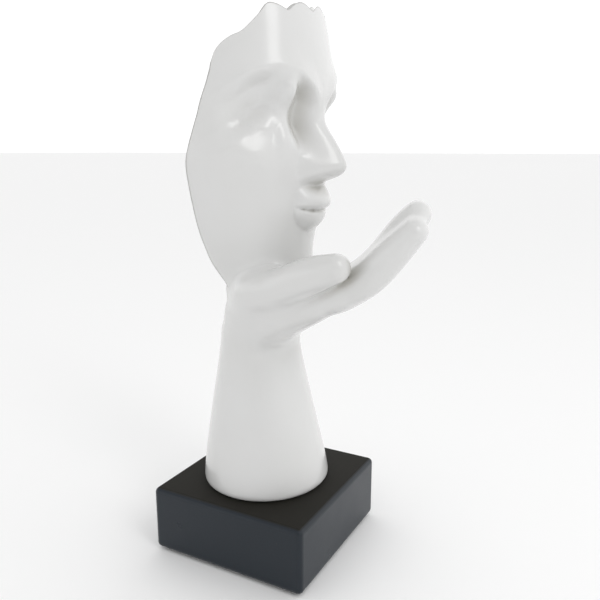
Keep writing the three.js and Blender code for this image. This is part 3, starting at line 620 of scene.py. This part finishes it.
def ramp(tree, value, stops):
    """Stops are (place, colour) or (place, grey)."""
    node = tree.nodes.new("ShaderNodeValToRGB")
    tree.links.new(value, node.inputs["Fac"])
    while len(node.color_ramp.elements) < len(stops):
        node.color_ramp.elements.new(0.5)
    for element, (place, colour) in zip(node.color_ramp.elements, stops):
        element.position = place
        element.color = (*colour, 1) if isinstance(colour, tuple) else (colour, colour, colour, 1)
    return node.outputs["Color"]


def multiply(tree, first, second):
    node = tree.nodes.new("ShaderNodeMix")
    node.data_type = "RGBA"
    node.blend_type = "MULTIPLY"
    node.inputs["Factor"].default_value = 1.0
    tree.links.new(first, node.inputs["A"])
    tree.links.new(second, node.inputs["B"])
    return node.outputs["Result"]


def mix(tree, factor, first, colour):
    node = tree.nodes.new("ShaderNodeMix")
    node.data_type = "RGBA"
    node.inputs["B"].default_value = (*colour, 1)
    tree.links.new(factor, node.inputs["Factor"])
    tree.links.new(first, node.inputs["A"])
    return node.outputs["Result"]


def bump(tree, shader, height, distance, strength):
    node = tree.nodes.new("ShaderNodeBump")
    node.inputs["Distance"].default_value = distance
    node.inputs["Strength"].default_value = strength
    tree.links.new(height, node.inputs["Height"])
    tree.links.new(node.outputs["Normal"], shader.inputs["Normal"])


def white_resin():
    """Gloss resin with faint clouding; painted shade makes it a little darker and warmer in its hollows."""
    material, tree, shader = new_material("white_resin")
    white = ramp(tree, noise(tree, scale=22, detail=4), [
        (0.3, (0.70, 0.70, 0.69)), (0.7, (0.725, 0.725, 0.72))])
    # Painted shade: the base colour is darkened and warmed where the resin's own hollows close in round a
    # point.
    occlusion = tree.nodes.new("ShaderNodeAmbientOcclusion")
    occlusion.only_local = True
    occlusion.inputs["Distance"].default_value = 0.04
    painted_shade = ramp(tree, occlusion.outputs["AO"], [
        (0.45, (0.76, 0.75, 0.71)), (0.7, (0.9, 0.895, 0.88)), (0.88, 1.0)])
    gloss = ramp(tree, noise(tree, scale=60, detail=6), [(0.3, 0.22), (0.7, 0.27)])
    tree.links.new(multiply(tree, white, painted_shade), shader.inputs["Base Color"])
    tree.links.new(gloss, shader.inputs["Roughness"])
    shader.inputs["Coat Weight"].default_value = 0.4
    shader.inputs["Coat Roughness"].default_value = 0.14
    bump(tree, shader, noise(tree, scale=140, detail=3), distance=0.0004, strength=0.06)
    return material


def black_paint():
    """Satin paint with fine pale specks; the upward faces are duller, and painted darker and warmer as
    shade.
    """
    material, tree, shader = new_material("black_paint")
    sides = ramp(tree, noise(tree, scale=900, detail=2), [
        (0.0, (0.009, 0.014, 0.020)), (0.74, (0.012, 0.018, 0.026)), (0.8, (0.03, 0.03, 0.03))])
    satin = ramp(tree, noise(tree, scale=40, detail=8), [(0.3, 0.27), (0.7, 0.34)])
    surface = tree.nodes.new("ShaderNodeNewGeometry")
    normal = tree.nodes.new("ShaderNodeSeparateXYZ")
    tree.links.new(surface.outputs["Normal"], normal.inputs[0])
    upward = ramp(tree, normal.outputs["Z"], [(0.8, 0.0), (0.97, 1.0)])
    # Painted shade: the upward faces are coloured darker and warmer than the sides.
    tree.links.new(mix(tree, upward, sides, (0.007, 0.006, 0.003)), shader.inputs["Base Color"])
    tree.links.new(mix(tree, upward, satin, (0.8, 0.8, 0.8)), shader.inputs["Roughness"])
    shader.inputs["Specular IOR Level"].default_value = 0.35
    bump(tree, shader, noise(tree, scale=700, detail=3), distance=0.0003, strength=0.1)
    return material


def plated_steel():
    material, tree, shader = new_material("plated_steel")
    grey = ramp(tree, noise(tree, scale=300, detail=4), [
        (0.3, (0.42, 0.43, 0.44)), (0.7, (0.56, 0.56, 0.55))])
    dull = ramp(tree, noise(tree, scale=800, detail=6), [(0.3, 0.28), (0.7, 0.42)])
    tree.links.new(grey, shader.inputs["Base Color"])
    tree.links.new(dull, shader.inputs["Roughness"])
    shader.inputs["Metallic"].default_value = 1.0
    bump(tree, shader, noise(tree, scale=1500, detail=3), distance=0.0002, strength=0.1)
    return material


def felt_cloth():
    material, tree, shader = new_material("felt_cloth")
    fibres = ramp(tree, noise(tree, scale=1200, detail=8), [
        (0.3, (0.012, 0.012, 0.013)), (0.7, (0.05, 0.05, 0.05))])
    tree.links.new(fibres, shader.inputs["Base Color"])
    shader.inputs["Roughness"].default_value = 0.95
    shader.inputs["Sheen Weight"].default_value = 0.4
    bump(tree, shader, noise(tree, scale=2500, detail=8), distance=0.0006, strength=0.6)
    return material


# Pieces
def add_mesh(name, points, quads, material, slot, replaced):
    mesh = bpy.data.meshes.new(name)
    mesh.from_pydata((points * MM).tolist(), [], quads.tolist())
    mesh.polygons.foreach_set("use_smooth", [True] * len(mesh.polygons))
    mesh.update()
    mesh.materials.append(material)
    obj = bpy.data.objects.new(name, mesh)
    bpy.context.scene.collection.objects.link(obj)
    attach(obj, "root")
    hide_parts(replaced)


def set_material(node, material):
    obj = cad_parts[node]
    for holder in obj.material_slots:
        holder.material = material
    if not obj.material_slots:
        obj.data.materials.append(material)


HAND_LOW = (-46, -112, 36)
HAND_HIGH = (46, 50, 216)
HAND_CELL = 1.4
HARDWARE = ("mask_pin_right", "mask_pin_left", "threaded_stud", "washer", "hex_nut", "locating_dowel")
resin = white_resin()
hand_points, hand_quads = skin(filleted_hand, HAND_LOW, HAND_HIGH, HAND_CELL)
add_mesh("mask_skin", *mask_mesh(), resin, "white_resin", "face_mask")
add_mesh("hand_skin", hand_points, hand_quads, resin, "white_resin", "hand_and_forearm")
set_material("plinth", black_paint())
set_material("base_felt", felt_cloth())
steel = plated_steel()
for name in HARDWARE:
    set_material(name, steel)


# Camera, floor and light
def direction(azimuth, elevation):
    a, e = math.radians(azimuth), math.radians(elevation)
    return Vector((math.sin(a) * math.cos(e), -math.cos(a) * math.cos(e), math.sin(e)))


def aim(obj, way):
    obj.rotation_mode = "QUATERNION"
    obj.rotation_quaternion = way.to_track_quat("-Z", "Y")


scene = bpy.context.scene
lens = bpy.data.cameras.new("camera")
lens.sensor_width = 36
lens.lens = 39.73
lens.clip_start = 0.01
camera = bpy.data.objects.new("camera", lens)
scene.collection.objects.link(camera)
camera.location = (-0.32499, -0.19849, 0.2373)
aim(camera, -direction(azimuth=-61.54, elevation=12.82))
scene.camera = camera

FLOOR_HALF = 40
floor_corners = [(x * FLOOR_HALF, y * FLOOR_HALF, 0) for x, y in ((-1, -1), (1, -1), (1, 1), (-1, 1))]
floor_mesh = bpy.data.meshes.new("floor")
floor_mesh.from_pydata(floor_corners, [], [(0, 1, 2, 3)])
floor = bpy.data.objects.new("floor", floor_mesh)
scene.collection.objects.link(floor)
floor_material, _, floor_shader = new_material("pale_floor")
floor_shader.inputs["Base Color"].default_value = (0.97, 0.97, 0.97, 1)
floor_shader.inputs["Roughness"].default_value = 0.9
floor_mesh.materials.append(floor_material)

# Soft light from all round: (azimuth, strength low down, strength higher up) of four sides, and overhead.
# The bands change over these stretches of the direction's upward part.
SIDES = [(-61.5, 0.45, 0.8), (28.5, 1.2, 1.1), (118.5, 1.1, 1.3), (-151.5, 1.4, 0.6)]
OVERHEAD = 0.8
HIGHER_BAND = (0.30, 0.54)
OVERHEAD_BAND = (0.76, 0.92)
LEAST_LEVEL = 0.0001
world = bpy.data.worlds.new("studio")
scene.world = world
world.use_nodes = True
sky = world.node_tree


def calc(operation, first, second=0.0):
    node = sky.nodes.new("ShaderNodeMath")
    node.operation = operation
    for socket, value in zip(node.inputs, (first, second)):
        if isinstance(value, float):
            socket.default_value = value
        else:
            sky.links.new(value, socket)
    return node.outputs[0]


def band(value, start, end):
    node = sky.nodes.new("ShaderNodeMapRange")
    node.interpolation_type = "SMOOTHSTEP"
    node.inputs["From Min"].default_value = start
    node.inputs["From Max"].default_value = end
    sky.links.new(value, node.inputs["Value"])
    return node.outputs["Result"]


def surroundings():
    """Strength of the light by the direction that it comes from."""
    coords = sky.nodes.new("ShaderNodeTexCoord")
    way = sky.nodes.new("ShaderNodeSeparateXYZ")
    sky.links.new(coords.outputs["Generated"], way.inputs[0])
    x, y, z = way.outputs
    level = calc("SQRT", calc("MAXIMUM", calc("SUBTRACT", 1.0, calc("MULTIPLY", z, z)), LEAST_LEVEL))
    higher, overhead = band(z, *HIGHER_BAND), band(z, *OVERHEAD_BAND)
    total = calc("MULTIPLY", overhead, OVERHEAD)
    for azimuth, low, high in SIDES:
        side = direction(azimuth, 0)
        along = calc("ADD", calc("MULTIPLY", x, side.x), calc("MULTIPLY", y, side.y))
        share = calc("POWER", calc("MAXIMUM", calc("DIVIDE", along, level), 0.0), 2.0)
        below = calc("MULTIPLY", calc("SUBTRACT", 1.0, higher), low)
        above = calc("MULTIPLY", calc("SUBTRACT", higher, overhead), high)
        total = calc("ADD", total, calc("MULTIPLY", share, calc("ADD", below, above)))
    return total


# What the camera sees behind the floor is plain white
background = sky.nodes["Background"]
background.inputs["Color"].default_value = (1, 1, 1, 1)
backdrop = sky.nodes.new("ShaderNodeLightPath").outputs["Is Camera Ray"]
sky.links.new(calc("MAXIMUM", surroundings(), backdrop), background.inputs["Strength"])

# One strip light in front, high up, for the gloss
STRIP_TARGET = Vector((0, 0, 0.2))
STRIP_WAY = direction(azimuth=-24, elevation=38)
STRIP_DISTANCE = 1.2
light = bpy.data.lights.new("strip", "AREA")
light.shape = "RECTANGLE"
light.size = 0.3
light.size_y = 0.7
light.energy = 2.0
strip = bpy.data.objects.new("strip", light)
scene.collection.objects.link(strip)
strip.location = STRIP_TARGET + STRIP_DISTANCE * STRIP_WAY
aim(strip, STRIP_TARGET - strip.location)
scene.view_settings.view_transform = "Standard"
